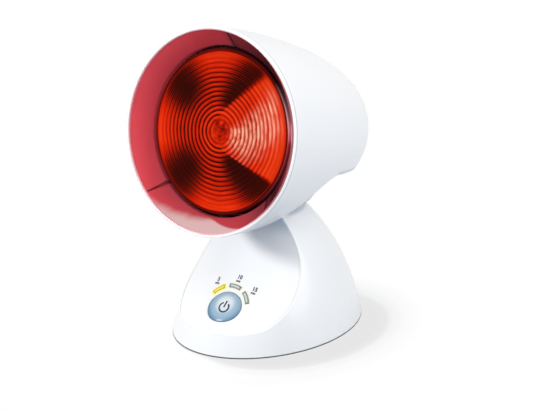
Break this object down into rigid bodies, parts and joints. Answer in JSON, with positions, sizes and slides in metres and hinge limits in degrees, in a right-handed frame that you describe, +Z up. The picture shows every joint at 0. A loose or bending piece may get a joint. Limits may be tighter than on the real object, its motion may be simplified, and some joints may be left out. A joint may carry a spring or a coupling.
{
  "type": "infrared heat therapy lamp",
  "caption": "Desk heat lamp: a bell-shaped head with a red reflector bulb tilts on a domed base with a hollowed front, a round button and arc-shaped timer lights.",
  "frame": {"origin": "on the table, below the middle of the lamp's bounding box", "axes": "+Z up; the lamp faces -Y; the hinge axis is along X"},
  "size_m": [0.1532, 0.1802, 0.2448],
  "materials": {
    "shell_white": "smooth, slightly glossy",
    "panel_white": "smooth, slightly glossy",
    "cover_grey": "fine matt",
    "liner_red": "glossy, lit red from the lamp",
    "lens_red": "pressed ridges, deep red",
    "reflector_silver": "silvered inside",
    "cap_metal": "rolled",
    "black_glass": "black",
    "contact_brass": "bare",
    "filament_wire": "coiled wire",
    "holder_ceramic": null,
    "clip_steel": "spring steel",
    "screw_steel": "zinc plated",
    "zinc_plate": "zinc plated",
    "shield_aluminium": "bright sheet",
    "bush_nylon": "natural nylon",
    "foot_rubber": "matt",
    "guide_clear": "clear light guide",
    "board_green": "lacquered",
    "led_body": "moulded",
    "chip_black": "moulded",
    "relay_blue": "moulded",
    "fuse_glass": "glass tube with metal ends",
    "block_green": "moulded",
    "gland_grey": "moulded nylon",
    "lead_silicone": "silicone insulation",
    "button_grey": "smooth, pale blue grey"
  },
  "bodies": {
    "head": {"head_shell": "shell_white", "under_cover": "cover_grey", "hinge_yoke": "zinc_plate", "yoke_screws": "screw_steel", "bracket_screws": "screw_steel", "inner_liner": "liner_red", "liner_clips": "clip_steel", "lens_glass": "lens_red", "reflector_glass": "reflector_silver", "bulb_skirt": "cap_metal", "screw_cap": "cap_metal", "cap_insulator": "black_glass", "cap_contact": "contact_brass", "filament": "filament_wire", "lamp_holder": "holder_ceramic", "threaded_sleeve": "contact_brass", "centre_spring": "contact_brass", "holder_terminals": "contact_brass", "holder_bracket": "zinc_plate", "holder_screws": "screw_steel", "heat_shield": "shield_aluminium", "rear_grille": "shell_white", "hinge_pin": "screw_steel", "spring_washer": "screw_steel", "hinge_nut": "screw_steel", "head_leads": "lead_silicone"},
    "base": {"hinge_bushes": "bush_nylon", "friction_washers": "bush_nylon", "detent_ball": "screw_steel", "detent_spring": "clip_steel", "base_shell": "shell_white", "front_panel": "panel_white", "base_plate": "cover_grey", "rubber_feet": "foot_rubber", "base_screws": "screw_steel", "board_screws": "screw_steel", "light_guides": "guide_clear", "control_board": "board_green", "tact_switch": "black_glass", "leds": "led_body", "timer_chip": "chip_black", "power_board": "board_green", "relay": "relay_blue", "transformer": "chip_black", "capacitors": "chip_black", "fuse": "fuse_glass", "terminal_block": "block_green", "cable_gland": "gland_grey", "gland_nut": "gland_grey", "base_leads": "lead_silicone"},
    "button": {"power_button": "button_grey", "switch_plunger": "block_green"}
  },
  "joints": [
    {"name": "head_tilt", "type": "hinge", "parent": "base", "child": "head", "pos_m": [0, 0.012, 0.11], "axis": [1, 0, 0], "range_deg": [-20, 20]},
    {"name": "button_press", "type": "slide", "parent": "base", "child": "button", "axis": [0, 0.6644, -0.7474], "range_m": [0, 0.0012], "stiffness_N_per_m": 900, "springref_m": -0.0006}
  ]
}
